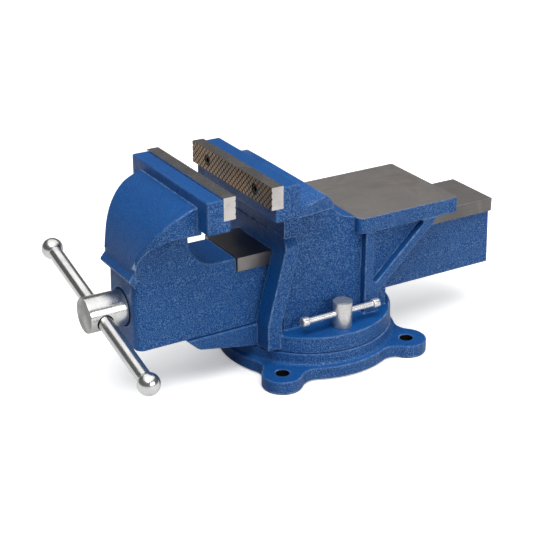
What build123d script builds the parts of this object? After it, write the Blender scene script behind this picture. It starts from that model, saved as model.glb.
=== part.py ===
from build123d import *
import os
from math import asin, cos, radians, sin, sqrt

os.makedirs("parts", exist_ok=True)

# Bench vise with 150 mm jaws on a swivel base, in millimetres.
# The origin is on the swivel axis at the bench. +Z is up, +X runs along the slide towards its rear
# end, and -Y is the near side.

# ---- clearances
swivel_gap = 0.3  # turntable above the base ring
slide_clearance = 0.3  # slide in its tunnel, on every side
running_fit = 0.05  # radial, for shafts that turn or slide in a bore
end_play = 0.2  # along a shaft, between a shoulder and the wall it runs on
bolt_clearance = 0.4  # radial, for bolts in clearance holes
overlap = 1.0  # how far one blank runs into the next before they are joined

# ---- swivel base
foot_relief = 1.5  # ring underside above the lug feet
lug_height = 13.4
base_height = 25.5
base_flange_radius = 90.0
base_ring_radius = 84.5
lug_count = 4
lug_angle = 45.0
lug_radius = 20.0
bench_bolt_circle = 203.0
bench_bolt_hole = 13.0
lug_blend = 17.0
foot_step = 1.0  # feet inside the lugs
ring_blend = 4.0

# ---- king bolt of the swivel
pivot_diameter = 16.0
pivot_head_width = 24.0  # across flats
pivot_head_height = 10.0
pivot_washer_radius = 15.0
pivot_washer_thickness = 3.0
pivot_nut_height = 13.0
pivot_recess_radius = 15.5
pivot_head_lift = 2.5  # head above the bench
pivot_thread_past = 2.0  # bolt past its nut

# ---- swivel lock: bolt, sliding T-bar and T-nut, one on each side
lock_radius = 64.0  # from the swivel axis
lock_shank = 12.0
lock_barrel = 19.0
lock_barrel_height = 26.0
lock_bar_diameter = 6.0
lock_bar_reach_front = 46.0
lock_bar_reach_rear = 42.0
lock_bar_height = 14.0  # bar axis above the turntable
lock_head_diameter = 9.5
lock_head_length = 7.5
lock_head_end = 1.0  # wall over the end of the bar
lock_chamfer = 1.0
lock_tip_gap = 1.5  # bolt above the slot's floor
clamp_nut_length = 22.0
clamp_nut_width = 17.0
clamp_nut_height = 7.3
clamp_nut_corner = 2.0
slot_floor = 5.0
slot_head_height = 9.3
slot_head_width = 22.0
slot_neck_width = 13.4

# ---- turntable and tunnel of the body
disc_radius = 83.5
disc_thickness = 16.3
disc_edge_radius = 1.5
floor_thickness = 8.0
core_half_width = 47.0
core_front = -55.5
core_rear = 63.0
core_rear_height = 76.0  # where the rear wall starts to lean back
flange_half_width = 54.5
flange_thickness = 16.0
flange_front = -77.0
flange_upper_front = -61.0
flange_bottom = 28.5
flange_knee = 56.0
flange_ledge = 131.0
flange_ledge_rise = 8.0
flange_blend = 6.0
flange_top_step = 0.5  # top of the flange in front of the core
lip_half_width = 34.0
lip_front = -152.0
lip_drop = 12.0
lip_slope_length = 13.0
lip_rear_bottom = 26.7
lip_blend = 12.0

# ---- slide of the moving jaw
slide_length = 405.0
slide_height = 71.7  # underside to the top of the rail
slide_half_width_top = 28.5
slide_half_width_bottom = 31.2
rail_half_width = 32.3
rail_height = 13.8
nose_length = 48.1  # painted casting between the neck and the rail
nose_step = 1.8  # that casting, below the rail's top
channel_room = 1.6  # around what turns in the channel
front_wall = 15.5
front_corner_radius = 8.0
slide_setback = 1.7  # front of the slide behind the hood's nose

# ---- jaws
jaw_width = 150.0
jaw_gap = 36.7  # between the plates as modelled
fixed_face = -85.7  # gripping face of the fixed plate
throat_height = 48.2  # rail top to the underside of the jaw blocks
block_height = 31.5
fixed_block_depth = 25.5  # from a block's gap face to its back
moving_block_depth = 23.5
plate_height = 21.5
plate_thickness = 12.0
plate_proud = 4.5  # plate in front of its block
plate_lip = 1.6  # plate above its block
plate_screw_spacing = 90.0
plate_screw_drop = 10.8  # below the plate's top
screw_shank = 6.0
screw_shank_length = 18.0
screw_head = 10.0
screw_head_length = 6.0
screw_socket = 5.0  # across flats
screw_socket_depth = 3.0
counterbore_depth = 6.5
block_edge_radius = 2.0

# ---- hood of the moving jaw
hood_half_width = 57.0
hood_radius = 68.0
hood_centre_back = 12.8  # centre of the hood's curve, in front of the gripping face
hood_crown_drop = 10.0  # top of the curve below the block's top
hood_web_thickness = 26.8  # hood's underside below the block's top, plus the web
hood_hollow_radius = 34.5
hood_nose_half_width = 27.0
hood_nose_wall = 2.7
hood_skirt_drop = 5.0  # lower edge of the hood below the centre of its curve
hood_corner_back = 13.0  # middle of the corner's curve behind the nose
hood_corner_inset = 12.5
hood_shoulder = 17.0  # side starts to narrow this far in front of the block
hood_shoulder_inset = 1.0
throat_blend = 29.0
neck_rear = 22.6  # rear wall of the neck in front of the gripping face
ledge_depth = 5.5
ledge_half_width = 31.0
ledge_top_rise = 6.0  # against the centre of the hood's curve
ledge_nose_top_drop = 1.5
ledge_nose_bottom_drop = 3.5
ledge_bottom_drop = 11.0

# ---- anvil and gussets
anvil_front = 23.0
anvil_length = 116.4
anvil_half_width = 56.2
anvil_thickness = 16.1
anvil_rise = 21.9  # above the rail
anvil_front_radius = 7.0
anvil_rear_radius = 2.0
wing_inset = 1.0  # foot of the wing inside the block's ends
wing_taper = 6.0  # how much narrower each side of the wing's foot is at its rear tip
wing_tip = -14.8
wing_knee = -24.0
wing_knee_drop = 19.3
ramp_start = -50.0
ramp_foot = 11.7
ramp_blend = 36.0
gusset_depth = 8.2
gusset_front = 31.6
gusset_rib_width = 10.0
gusset_foot = 48.0
gusset_foot_height = 62.0
gusset_rear = 119.0
gusset_pocket_radius = 3.0

# ---- lead screw and its nut
screw_height = 34.9  # axis above the tunnel floor
lead_diameter = 24.0
lead_tip = 120.0
lead_tip_chamfer = 2.0
hub_radius = 17.0
hub_length = 38.6
hub_chamfer = 1.5
hub_recess_depth = 3.0
hub_recess_room = 2.0
washer_rim = 4.5  # washer, collar and nut beyond the screw, radially
washer_thickness = 2.0
collar_wall = 6.0
collar_length = 12.0
collar_pin_diameter = 5.0
collar_pin_inset = 1.0  # each end of the pin under the collar's surface
nut_wall = 5.0
nut_length = 50.0
nut_rear = -25.0
nut_bolt_spacing = 24.0
nut_bolt_diameter = 8.0
nut_bolt_head = 13.0
nut_bolt_head_height = 8.0
nut_bolt_length = 30.0
nut_washer_thickness = 1.6
nut_bolt_recess = 14.0

# ---- handle
handle_diameter = 14.0
handle_half_length = 105.7  # hub axis to a ball's centre
handle_tilt = 13.7
handle_from_front = 14.0  # cross hole behind the hub's front face
ball_radius = 10.5
spigot_diameter = 10.0
spigot_past_centre = 1.0

# ---- levels and places worked out from the sizes above
disc_bottom = base_height + swivel_gap
disc_top = disc_bottom + disc_thickness
tunnel_floor = disc_top + floor_thickness
slide_bottom = tunnel_floor + slide_clearance
rail_top = slide_bottom + slide_height
rail_bottom = rail_top - rail_height
nose_top = rail_top - nose_step
tunnel_roof = rail_top + slide_clearance
tunnel_half_width = rail_half_width + slide_clearance
anvil_top = rail_top + anvil_rise
anvil_bottom = anvil_top - anvil_thickness
block_bottom = rail_top + throat_height
block_top = block_bottom + block_height
plate_top = block_top + plate_lip
plate_bottom = plate_top - plate_height
plate_screw_z = plate_top - plate_screw_drop
screw_z = tunnel_floor + screw_height

moving_face = fixed_face - jaw_gap
neck_x = moving_face - neck_rear
moving_block_rear = moving_face - plate_proud
moving_block_front = moving_block_rear - moving_block_depth
hood_x = moving_face - hood_centre_back
hood_z = block_top - hood_crown_drop - sqrt(hood_radius**2 - (hood_x - moving_block_front) ** 2)
nose_x = hood_x - hood_radius
slide_front = nose_x + slide_setback
slide_rear = slide_front + slide_length
rail_front = neck_x + nose_length
rail_length = slide_rear - rail_front
washer_radius = lead_diameter / 2 + washer_rim
collar_radius = lead_diameter / 2 + collar_wall
nut_half_width = lead_diameter / 2 + nut_wall
collar_pin_length = 2 * (collar_radius - collar_pin_inset)
channel_half_width = collar_radius + channel_room
channel_top = screw_z + collar_radius + channel_room
wall_inside = slide_front + front_wall
recess_floor = slide_front + hub_recess_depth
hub_rear = recess_floor - washer_thickness - 2 * end_play
hub_front = hub_rear - hub_length
fixed_block_front = fixed_face + plate_proud
fixed_block_rear = fixed_block_front + fixed_block_depth

side_view = Plane.XZ  # local x is X, local y is Z, and both=True reaches to each side of Y = 0
screw_plane = Plane(origin=(0, 0, screw_z), x_dir=(0, 1, 0), z_dir=(1, 0, 0))
handle_x = hub_front + handle_from_front
handle_plane = Plane(
    origin=(handle_x, 0, screw_z),
    x_dir=(1, 0, 0),
    z_dir=(0, cos(radians(handle_tilt)), sin(radians(handle_tilt))),
)


# ---- swivel base: ring, flange and four lugs, with a blind T-slot all the way round
with BuildPart() as swivel_base:
    with BuildSketch(Plane.XY.offset(foot_relief)) as base_outline:
        Circle(base_flange_radius)
        with PolarLocations(bench_bolt_circle / 4, lug_count, start_angle=lug_angle):
            Rectangle(bench_bolt_circle / 2, 2 * lug_radius)
        with PolarLocations(bench_bolt_circle / 2, lug_count, start_angle=lug_angle):
            Circle(lug_radius)
        fillet(
            base_outline.vertices().filter_by(
                lambda v: abs(sqrt(v.X**2 + v.Y**2) - base_flange_radius) < 0.01
            ),
            lug_blend,
        )
    extrude(amount=lug_height - foot_relief)
    with BuildSketch(Plane.XY.offset(lug_height)):
        Circle(base_ring_radius)
    extrude(amount=base_height - lug_height)
    ring_foot = (
        swivel_base.edges()
        .filter_by(GeomType.CIRCLE)
        .filter_by(lambda edge: abs(edge.center().Z - lug_height) < 0.01)
        .filter_by(lambda edge: abs(edge.radius - base_ring_radius) < 0.01)
    )
    fillet(ring_foot, ring_blend)
    with BuildSketch(Plane.XY) as feet:
        with PolarLocations(bench_bolt_circle / 2, lug_count, start_angle=lug_angle):
                Circle(lug_radius - foot_step)
    extrude(amount=foot_relief)
    with BuildSketch(Plane.XY) as bench_holes:
        with PolarLocations(bench_bolt_circle / 2, lug_count, start_angle=lug_angle):
            Circle(bench_bolt_hole / 2)
    extrude(amount=lug_height, mode=Mode.SUBTRACT)
    with BuildSketch(Plane.XY.offset(slot_floor)):
        Circle(lock_radius + slot_head_width / 2)
        Circle(lock_radius - slot_head_width / 2, mode=Mode.SUBTRACT)
    extrude(amount=slot_head_height, mode=Mode.SUBTRACT)
    with BuildSketch(Plane.XY.offset(slot_floor)):
        Circle(lock_radius + slot_neck_width / 2)
        Circle(lock_radius - slot_neck_width / 2, mode=Mode.SUBTRACT)
    extrude(amount=base_height - slot_floor, mode=Mode.SUBTRACT)
    with BuildSketch(Plane.XY.offset(foot_relief)):
        Circle(pivot_recess_radius)
    extrude(amount=pivot_head_lift + pivot_head_height - foot_relief, mode=Mode.SUBTRACT)
    with BuildSketch(Plane.XY):
        Circle(pivot_diameter / 2 + running_fit)
    extrude(amount=base_height, mode=Mode.SUBTRACT)

# ---- fixed body: helpers for its front flange and the gussets under the anvil
with BuildPart() as flange_blank:
    with BuildSketch(side_view) as flange_outline:
        flange_top = flange_ledge + flange_ledge_rise
        top_front = core_front - flange_top_step
        Polygon(
            (flange_front, flange_bottom),
            (flange_front, flange_knee),
            (flange_upper_front, tunnel_roof - 4),
            (top_front, flange_top),
            (top_front + flange_thickness - 2, flange_top),
            (flange_upper_front + flange_thickness, tunnel_roof - 4),
            (flange_front + flange_thickness, flange_knee),
            (flange_front + flange_thickness, flange_bottom),
            align=None,
        )
        fillet(flange_outline.vertices().group_by(Axis.Y)[1:-1], flange_blend)
    extrude(amount=flange_half_width, both=True)
    with BuildSketch(Plane.YZ.offset(flange_front)):
        Polygon(
            (-flange_half_width, flange_bottom),
            (flange_half_width, flange_bottom),
            (flange_half_width, flange_ledge),
            (core_half_width - overlap, flange_top),
            (overlap - core_half_width, flange_top),
            (-flange_half_width, flange_ledge),
            align=None,
        )
    extrude(amount=core_front + flange_thickness - flange_front, mode=Mode.INTERSECT)

with BuildPart() as gusset_blank:
    with BuildSketch(side_view):
        Polygon(
            (gusset_front, disc_top - overlap),
            (gusset_foot, disc_top - overlap),
            (gusset_foot, gusset_foot_height),
            (gusset_rear, anvil_bottom + overlap),
            (gusset_front, anvil_bottom + overlap),
            align=None,
        )
    extrude(amount=core_half_width + gusset_depth, both=True)
    with BuildSketch(side_view) as pocket:
        rib_slope = (anvil_bottom - gusset_foot_height) / (gusset_rear - gusset_foot)
        rib_rise = gusset_rib_width * sqrt(1 + rib_slope**2)
        pocket_x = gusset_front + gusset_rib_width
        Polygon(
            (pocket_x, gusset_foot_height + rib_rise + rib_slope * (pocket_x - gusset_foot)),
            (pocket_x, anvil_bottom),
            (gusset_rear - rib_rise / rib_slope, anvil_bottom),
            align=None,
        )
        fillet(pocket.vertices(), gusset_pocket_radius)
    extrude(amount=core_half_width + gusset_depth, both=True, mode=Mode.SUBTRACT)

with BuildPart() as wing_blank:
    with BuildSketch(side_view):
        knee_z = block_top - wing_knee_drop
        bulge = ((wing_knee + wing_tip) / 2 + 1, (knee_z + block_bottom) / 2 + 1)
        with BuildLine():
            Polyline(
                (wing_tip, block_bottom),
                (fixed_block_rear - 2, block_bottom),
                (fixed_block_rear - 2, block_top),
                (ramp_start, block_top),
                (wing_knee, knee_z),
            )
            ThreePointArc((wing_knee, knee_z), bulge, (wing_tip, block_bottom))
        make_face()
    extrude(amount=jaw_width / 2, both=True)
    wing_foot = jaw_width / 2 - wing_inset
    with BuildSketch(Plane.YZ.offset(fixed_block_rear - 5)):
        with Locations((0, block_bottom)):
            Ellipse(wing_foot, block_height)
    extrude(amount=wing_tip - fixed_block_rear + 10, mode=Mode.INTERSECT)
    with BuildSketch(Plane.XY.offset(block_bottom)):
        Polygon(
            (fixed_block_rear - 5, -wing_foot),
            (wing_tip + 1, wing_taper - wing_foot),
            (wing_tip + 1, wing_foot - wing_taper),
            (fixed_block_rear - 5, wing_foot),
            align=None,
        )
    extrude(amount=block_height, mode=Mode.INTERSECT)

with BuildPart() as fixed_block:
    with BuildSketch(Plane.XY.offset(block_bottom)):
        with Locations(((fixed_block_front + fixed_block_rear) / 2, 0)):
            Rectangle(fixed_block_rear - fixed_block_front, jaw_width)
    extrude(amount=block_height)
    fillet(fixed_block.edges(), block_edge_radius)

with BuildPart() as moving_block:
    with BuildSketch(Plane.XY.offset(block_bottom)):
        with Locations(((moving_block_front + moving_block_rear) / 2, 0)):
            Rectangle(moving_block_rear - moving_block_front, jaw_width)
    extrude(amount=block_height)
    fillet(moving_block.edges(), block_edge_radius)

# ---- fixed body: turntable, tunnel, fixed jaw, anvil and the lip under the slide, in one casting
with BuildPart() as body_casting:
    with BuildSketch(Plane.XY.offset(disc_bottom)):
        Circle(disc_radius)
    extrude(amount=disc_thickness)
    fillet(body_casting.edges().filter_by(GeomType.CIRCLE).sort_by(Axis.Z)[-1], disc_edge_radius)
    with BuildSketch(side_view):
        with BuildLine():
            Polyline(
                (wing_tip, block_bottom),
                (ramp_foot, anvil_top),
                (gusset_front, anvil_top),
                (gusset_front, anvil_bottom + overlap),
                (gusset_rear, anvil_bottom + overlap),
                (core_rear, core_rear_height),
                (core_rear, disc_top - overlap),
                (core_front, disc_top - overlap),
                (core_front, block_bottom + overlap),
                (wing_tip - overlap, block_bottom + overlap),
                close=True,
            )
        make_face()
    extrude(amount=core_half_width, both=True)
    foot_edge = body_casting.edges().filter_by(
        lambda edge: abs(edge.center().X - ramp_foot) < 0.1 and abs(edge.center().Z - anvil_top) < 0.1
    )
    fillet(foot_edge, ramp_blend)
    add(wing_blank.part)
    add(fixed_block.part)
    with BuildSketch(Plane.XY.offset(anvil_bottom)) as anvil:
        with Locations((anvil_front + anvil_length / 2, 0)):
            Rectangle(anvil_length, 2 * anvil_half_width)
        fillet(anvil.vertices().group_by(Axis.X)[0], anvil_front_radius)
        fillet(anvil.vertices().group_by(Axis.X)[-1], anvil_rear_radius)
    extrude(amount=anvil_thickness)
    add(flange_blank.part)
    add(gusset_blank.part)
    with BuildSketch(side_view) as lip:
        Polygon(
            (lip_front, tunnel_floor),
            (lip_front + lip_slope_length, tunnel_floor - lip_drop),
            (flange_front, lip_rear_bottom),
            (core_front, lip_rear_bottom),
            (core_front, tunnel_floor),
            align=None,
        )
        fillet(lip.vertices().group_by(Axis.X)[1], lip_blend)
    extrude(amount=lip_half_width, both=True)
    with BuildSketch(Plane.XY.offset(tunnel_floor)):
        with Locations(((flange_front + gusset_rear) / 2, 0)):
            Rectangle(gusset_rear - flange_front + 40, 2 * tunnel_half_width)
    extrude(amount=tunnel_roof - tunnel_floor, mode=Mode.SUBTRACT)
    with BuildSketch(Plane.XY.offset(plate_bottom)):
        with Locations((fixed_face + plate_thickness / 2, 0)):
            Rectangle(plate_thickness, jaw_width + 2)
    extrude(amount=plate_height, mode=Mode.SUBTRACT)
    with BuildSketch(Plane.YZ.offset(fixed_face + plate_thickness)):
        with Locations((-plate_screw_spacing / 2, plate_screw_z), (plate_screw_spacing / 2, plate_screw_z)):
            Circle(screw_shank / 2 + running_fit)
    extrude(amount=screw_shank_length - plate_thickness + counterbore_depth + 1, mode=Mode.SUBTRACT)
    with BuildSketch(Plane.XY):
        Circle(pivot_diameter / 2 + running_fit)
        with Locations((0, -lock_radius), (0, lock_radius)):
            Circle(lock_shank / 2 + running_fit)
    extrude(amount=tunnel_floor + 1, mode=Mode.SUBTRACT)
    with BuildSketch(Plane.XY) as nut_bolt_holes:
        with Locations((nut_rear - nut_length / 2, 0)):
            with GridLocations(nut_bolt_spacing, 1, 2, 1):
                Circle(nut_bolt_diameter / 2 + bolt_clearance)
    extrude(amount=tunnel_floor + 1, mode=Mode.SUBTRACT)
    with BuildSketch(Plane.XY) as nut_bolt_recesses:
        with Locations((nut_rear - nut_length / 2, 0)):
            with GridLocations(nut_bolt_spacing, 1, 2, 1):
                Circle(nut_bolt_recess / 2)
    recess_top = disc_bottom + end_play + nut_bolt_head_height + nut_washer_thickness
    extrude(amount=recess_top, mode=Mode.SUBTRACT)

# ---- moving jaw: slide box, hood, then the whole casting
with BuildPart() as slide_blank:
    with BuildSketch(side_view) as slide_outline:
        Polygon(
            (slide_front, slide_bottom),
            (slide_rear, slide_bottom),
            (slide_rear, rail_bottom + 1),
            (rail_front, rail_bottom + 1),
            (rail_front, nose_top),
            (neck_x, nose_top),
            (neck_x, block_bottom + 8),
            (moving_block_front - 8, block_bottom + 8),
            (slide_front, hood_z + 2),
            align=None,
        )
        fillet(
            slide_outline.vertices().filter_by(
                lambda v: abs(v.X - neck_x) < 0.01 and abs(v.Y - nose_top) < 0.01
            ),
            throat_blend,
        )
    extrude(amount=slide_half_width_bottom + 5, both=True)
    with BuildSketch(Plane.YZ.offset(slide_front - 1)):
        draft = (slide_half_width_bottom - slide_half_width_top) / (rail_bottom - slide_bottom)
        top_z = block_bottom + 9
        top_half = slide_half_width_bottom - draft * (top_z - slide_bottom)
        Polygon(
            (-slide_half_width_bottom, slide_bottom),
            (slide_half_width_bottom, slide_bottom),
            (top_half, top_z),
            (-top_half, top_z),
            align=None,
        )
    extrude(amount=slide_length + 2, mode=Mode.INTERSECT)
    with BuildPart(mode=Mode.PRIVATE) as hood_root:
        add(slide_blank.part)
        split(bisect_by=Plane.XY.offset(hood_z - hood_skirt_drop), keep=Keep.TOP)
    front_corners = (
        slide_blank.edges()
        .filter_by(lambda edge: abs(edge.center().X - slide_front) < 0.1)
        .filter_by(lambda edge: abs(edge.center().Y) > slide_half_width_top - 3)
    )
    fillet(front_corners, front_corner_radius)
    add(hood_root.part)  # square corners again under the hood, so that it closes on the slide

with BuildPart() as hood_blank:
    with BuildSketch(side_view):
        with BuildLine():
            hollow_x = nose_x + hood_nose_wall + hood_hollow_radius
            hollow_top = block_top - hood_crown_drop - hood_web_thickness
            hollow_z = hollow_top - hood_hollow_radius
            mid = radians(135)
            crown_z = hood_z + sqrt(hood_radius**2 - (hood_x - moving_block_front) ** 2)
            half = (asin((hood_x - moving_block_front) / hood_radius) + radians(90)) / 2
            Polyline(
                (moving_block_front + 4, crown_z),
                (moving_block_front + 4, hollow_top),
                (hollow_x, hollow_top),
            )
            ThreePointArc(
                (hollow_x, hollow_top),
                (hollow_x + hood_hollow_radius * cos(mid), hollow_z + hood_hollow_radius * sin(mid)),
                (hollow_x - hood_hollow_radius, hollow_z),
            )
            Polyline(
                (hollow_x - hood_hollow_radius, hollow_z),
                (hollow_x - hood_hollow_radius, hood_z - hood_skirt_drop),
                (nose_x, hood_z - hood_skirt_drop),
                (nose_x, hood_z),
            )
            ThreePointArc(
                (nose_x, hood_z),
                (hood_x - hood_radius * sin(half), hood_z + hood_radius * cos(half)),
                (moving_block_front, crown_z),
            )
            Line((moving_block_front, crown_z), (moving_block_front + 4, crown_z))
        make_face()
    extrude(amount=hood_half_width, both=True)
    with BuildSketch(Plane.XY.offset(slide_bottom)):
        with BuildLine():
            shoulder_x = moving_block_front - hood_shoulder
            corner_x = nose_x + hood_corner_back
            corner_y = hood_half_width - hood_corner_inset
            shoulder_y = hood_half_width - hood_shoulder_inset
            Polyline(
                (nose_x - 0.5, hood_nose_half_width),
                (nose_x - 0.5, -hood_nose_half_width),
            )
            ThreePointArc(
                (nose_x - 0.5, -hood_nose_half_width),
                (corner_x, -corner_y),
                (shoulder_x, -shoulder_y),
            )
            Polyline(
                (shoulder_x, -shoulder_y),
                (moving_block_front + 5, -hood_half_width),
                (moving_block_front + 5, hood_half_width),
                (shoulder_x, shoulder_y),
            )
            ThreePointArc(
                (shoulder_x, shoulder_y),
                (corner_x, corner_y),
                (nose_x - 0.5, hood_nose_half_width),
            )
        make_face()
    extrude(amount=block_top - slide_bottom, mode=Mode.INTERSECT)

with BuildPart() as moving_jaw:
    add(slide_blank.part)
    add(hood_blank.part)
    add(moving_block.part)
    with BuildSketch(Plane.XY.offset(rail_bottom)):
        with Locations((slide_rear - rail_length / 2, 0)):
            Rectangle(rail_length, 2 * rail_half_width)
    extrude(amount=rail_height)
    with BuildSketch(side_view) as ledge:
        Polygon(
            (slide_front + overlap, hood_z - ledge_bottom_drop),
            (slide_front - ledge_depth, hood_z - ledge_nose_bottom_drop),
            (slide_front - ledge_depth, hood_z - ledge_nose_top_drop),
            (slide_front + overlap, hood_z + ledge_top_rise),
            align=None,
        )
    extrude(amount=ledge_half_width, both=True)
    with BuildSketch(Plane.XY.offset(slide_bottom - 1)):
        with Locations(((wall_inside + slide_rear + 1) / 2, 0)):
            Rectangle(slide_rear + 1 - wall_inside, 2 * channel_half_width)
    extrude(amount=channel_top - slide_bottom + 1, mode=Mode.SUBTRACT)
    with BuildSketch(screw_plane.offset(slide_front - ledge_depth - 5)):
        Circle(lead_diameter / 2 + running_fit)
    extrude(amount=front_wall + ledge_depth + 10, mode=Mode.SUBTRACT)
    with BuildSketch(screw_plane.offset(slide_front - ledge_depth - 5)):
        Circle(hub_radius + hub_recess_room)
    extrude(amount=hub_recess_depth + ledge_depth + 5, mode=Mode.SUBTRACT)
    with BuildSketch(Plane.XY.offset(plate_bottom)):
        with Locations((moving_face - plate_thickness / 2, 0)):
            Rectangle(plate_thickness, jaw_width + 2)
    extrude(amount=plate_height, mode=Mode.SUBTRACT)
    with BuildSketch(Plane.YZ.offset(moving_face - plate_thickness)):
        with Locations((-plate_screw_spacing / 2, plate_screw_z), (plate_screw_spacing / 2, plate_screw_z)):
            Circle(screw_shank / 2 + running_fit)
    extrude(amount=-(screw_shank_length - plate_thickness + counterbore_depth + 1), mode=Mode.SUBTRACT)


# ---- jaw plates and their cap screws; facing is +1 where the gripping face looks along +X
def jaw_plate(face_x, facing):
    back = Plane(origin=(face_x - facing * plate_thickness, 0, 0), x_dir=(0, 1, 0), z_dir=(facing, 0, 0))
    front = Plane(origin=(face_x, 0, 0), x_dir=(0, 1, 0), z_dir=(facing, 0, 0))
    side = facing  # local y of both planes is +Z for +X and -Z for -X
    middle = side * (plate_top + plate_bottom) / 2
    with BuildPart() as plate:
        with BuildSketch(back):
            with Locations((0, middle)):
                Rectangle(jaw_width, plate_height)
        extrude(amount=plate_thickness)
        with BuildSketch(back):
            with Locations((0, side * plate_screw_z)):
                with GridLocations(plate_screw_spacing, 1, 2, 1):
                    Circle(screw_shank / 2 + bolt_clearance)
        extrude(amount=plate_thickness, mode=Mode.SUBTRACT)
        with BuildSketch(front):
            with Locations((0, side * plate_screw_z)):
                with GridLocations(plate_screw_spacing, 1, 2, 1):
                    Circle(screw_head / 2 + bolt_clearance)
        extrude(amount=-counterbore_depth, mode=Mode.SUBTRACT)
    return plate.part


def plate_screws(face_x, facing):
    seat_x = face_x - facing * counterbore_depth
    seat = Plane(origin=(seat_x, 0, 0), x_dir=(0, 1, 0), z_dir=(facing, 0, 0))
    side = facing
    with BuildPart() as screws:
        with BuildSketch(seat):
            with Locations((0, side * plate_screw_z)):
                with GridLocations(plate_screw_spacing, 1, 2, 1):
                    Circle(screw_head / 2)
        extrude(amount=screw_head_length)
        with BuildSketch(seat):
            with Locations((0, side * plate_screw_z)):
                with GridLocations(plate_screw_spacing, 1, 2, 1):
                    Circle(screw_shank / 2)
        extrude(amount=-screw_shank_length)
        with BuildSketch(seat.offset(screw_head_length)):
            with Locations((0, side * plate_screw_z)):
                with GridLocations(plate_screw_spacing, 1, 2, 1):
                    RegularPolygon(screw_socket / 2, 6, major_radius=False)
        extrude(amount=-screw_socket_depth, mode=Mode.SUBTRACT)
    return screws.part


# ---- lead screw: hub with the handle's cross hole, journal and threaded rod at pitch diameter
with BuildPart() as lead_screw:
    with BuildSketch(screw_plane.offset(hub_front)):
        Circle(hub_radius)
    extrude(amount=hub_length)
    chamfer(lead_screw.edges().filter_by(GeomType.CIRCLE), hub_chamfer)
    with BuildSketch(screw_plane.offset(hub_rear)):
        Circle(lead_diameter / 2)
    extrude(amount=lead_tip - hub_rear)
    chamfer(lead_screw.edges().filter_by(GeomType.CIRCLE).sort_by(Axis.X)[-1], lead_tip_chamfer)
    with BuildSketch(handle_plane):
        Circle(handle_diameter / 2 + running_fit)
    extrude(amount=hub_radius + 5, both=True, mode=Mode.SUBTRACT)
    with BuildSketch(Plane.XY.offset(screw_z)):
        with Locations((wall_inside + end_play + collar_length / 2, 0)):
            Circle(collar_pin_diameter / 2 + running_fit)
    extrude(amount=lead_diameter, both=True, mode=Mode.SUBTRACT)

with BuildPart() as thrust_washer:
    with BuildSketch(screw_plane.offset(hub_rear + end_play)):
        Circle(washer_radius)
        Circle(lead_diameter / 2 + running_fit, mode=Mode.SUBTRACT)
    extrude(amount=washer_thickness)

with BuildPart() as retaining_collar:
    with BuildSketch(screw_plane.offset(wall_inside + end_play)):
        Circle(collar_radius)
        Circle(lead_diameter / 2 + running_fit, mode=Mode.SUBTRACT)
    extrude(amount=collar_length)
    with BuildSketch(Plane.XY.offset(screw_z)):
        with Locations((wall_inside + end_play + collar_length / 2, 0)):
            Circle(collar_pin_diameter / 2 + running_fit)
    extrude(amount=collar_radius + 1, both=True, mode=Mode.SUBTRACT)

with BuildPart() as collar_pin:
    with BuildSketch(Plane.XY.offset(screw_z)):
        with Locations((wall_inside + end_play + collar_length / 2, 0)):
            Circle(collar_pin_diameter / 2)
    extrude(amount=collar_pin_length / 2, both=True)

# ---- fixed nut on the tunnel floor, bolted from under the turntable
with BuildPart() as screw_nut:
    with BuildSketch(screw_plane.offset(nut_rear - nut_length)):
        Circle(nut_half_width)
        with Locations((0, -screw_height / 2)):
            Rectangle(2 * nut_half_width, screw_height)
    extrude(amount=nut_length)
    with BuildSketch(screw_plane.offset(nut_rear - nut_length)):
        Circle(lead_diameter / 2 + running_fit)
    extrude(amount=nut_length, mode=Mode.SUBTRACT)
    with BuildSketch(Plane.XY.offset(tunnel_floor)):
        with Locations((nut_rear - nut_length / 2, 0)):
            with GridLocations(nut_bolt_spacing, 1, 2, 1):
                Circle(nut_bolt_diameter / 2 + running_fit)
    extrude(amount=screw_height - lead_diameter / 2, mode=Mode.SUBTRACT)

with BuildPart() as nut_bolts:
    with BuildSketch(Plane.XY.offset(disc_bottom + end_play)):
        with Locations((nut_rear - nut_length / 2, 0)):
            with GridLocations(nut_bolt_spacing, 1, 2, 1):
                Circle(nut_bolt_head / 2)
    extrude(amount=nut_bolt_head_height)
    with BuildSketch(Plane.XY.offset(disc_bottom + end_play + nut_bolt_head_height)):
        with Locations((nut_rear - nut_length / 2, 0)):
            with GridLocations(nut_bolt_spacing, 1, 2, 1):
                Circle(nut_bolt_diameter / 2)
    extrude(amount=nut_bolt_length)

with BuildPart() as nut_washers:
    with BuildSketch(Plane.XY.offset(disc_bottom + end_play + nut_bolt_head_height)):
        with Locations((nut_rear - nut_length / 2, 0)):
            with GridLocations(nut_bolt_spacing, 1, 2, 1):
                Circle(nut_bolt_head / 2)
                Circle(nut_bolt_diameter / 2 + bolt_clearance / 2, mode=Mode.SUBTRACT)
    extrude(amount=nut_washer_thickness)

# ---- king bolt, washer and lock nut of the swivel
pivot_washer_z = tunnel_floor + end_play
pivot_nut_z = pivot_washer_z + pivot_washer_thickness
with BuildPart() as pivot_bolt:
    with BuildSketch(Plane.XY.offset(pivot_head_lift)):
        RegularPolygon(pivot_head_width / 2, 6, major_radius=False)
    extrude(amount=pivot_head_height)
    with BuildSketch(Plane.XY.offset(pivot_head_lift + pivot_head_height)):
        Circle(pivot_diameter / 2)
    extrude(amount=pivot_nut_z + pivot_nut_height + pivot_thread_past - pivot_head_lift - pivot_head_height)

with BuildPart() as pivot_washer:
    with BuildSketch(Plane.XY.offset(pivot_washer_z)):
        Circle(pivot_washer_radius)
        Circle(pivot_diameter / 2 + bolt_clearance, mode=Mode.SUBTRACT)
    extrude(amount=pivot_washer_thickness)

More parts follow.
